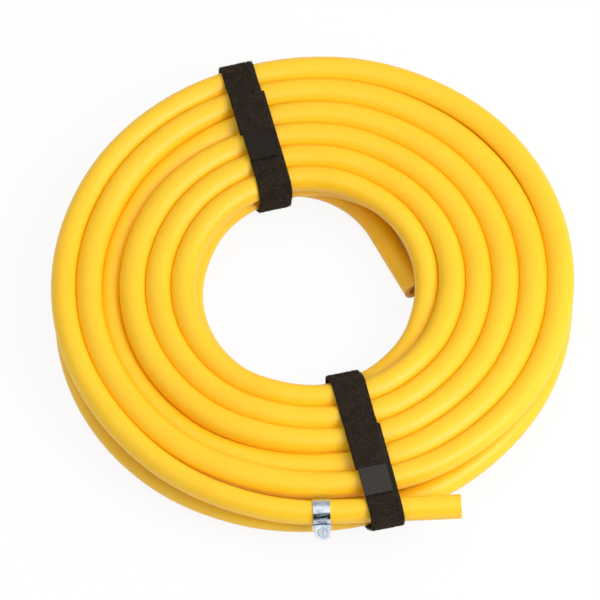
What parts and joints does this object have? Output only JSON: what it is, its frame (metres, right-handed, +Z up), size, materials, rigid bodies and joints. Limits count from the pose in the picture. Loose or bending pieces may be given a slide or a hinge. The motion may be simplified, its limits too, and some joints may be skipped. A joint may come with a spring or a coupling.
{
  "type": "coiled air hose",
  "caption": "Length of air hose wound in three layers, held by two hook-and-loop straps, with a worm-drive clamp left on the outer end.",
  "frame": {"origin": "centre of the coil's hole, on the level that the coil lies on", "axes": "+Z up along the coil's axis; the straight outer end points along +X; -Y is the side of the outer end and its clamp"},
  "size_m": [0.3423, 0.3649, 0.0559],
  "materials": {
    "hose": "satin yellow PVC air hose",
    "tape": "brushed nylon loop pile, brown-black",
    "tab": "moulded nylon hook tab, welded on",
    "band": "zinc-plated spring steel strip",
    "housing": "zinc-plated pressed steel",
    "screw": "zinc-plated cold-headed steel"
  },
  "bodies": {
    "coil": {"hose_coil": "hose", "hose_tail": "hose", "hose_inner_end": "hose", "near_strap_tape": "tape", "far_strap_tape": "tape", "clamp_band": "band", "clamp_housing": "housing"},
    "clamp_screw": {"clamp_screw": "screw"},
    "near_tab": {"near_strap_tab": "tab"},
    "far_tab": {"far_strap_tab": "tab"}
  },
  "joints": [
    {"name": "clamp_screw_turn", "type": "hinge", "parent": "coil", "child": "clamp_screw", "pos_m": [0.0051, -0.18406, 0.03671], "axis": [0.0252, -0.5144, 0.8572], "range_deg": [0, 1440], "deforming": ["clamp_band"]},
    {"name": "near_tab_peel", "type": "hinge", "parent": "coil", "child": "near_tab", "pos_m": [0.03747, -0.14528, 0.0559], "axis": [-0.9736, -0.2284, 0], "range_deg": [0, 100]},
    {"name": "far_tab_peel", "type": "hinge", "parent": "coil", "child": "far_tab", "pos_m": [-0.03783, 0.10955, 0.0559], "axis": [-0.969, -0.247, 0], "range_deg": [0, 100]}
  ]
}
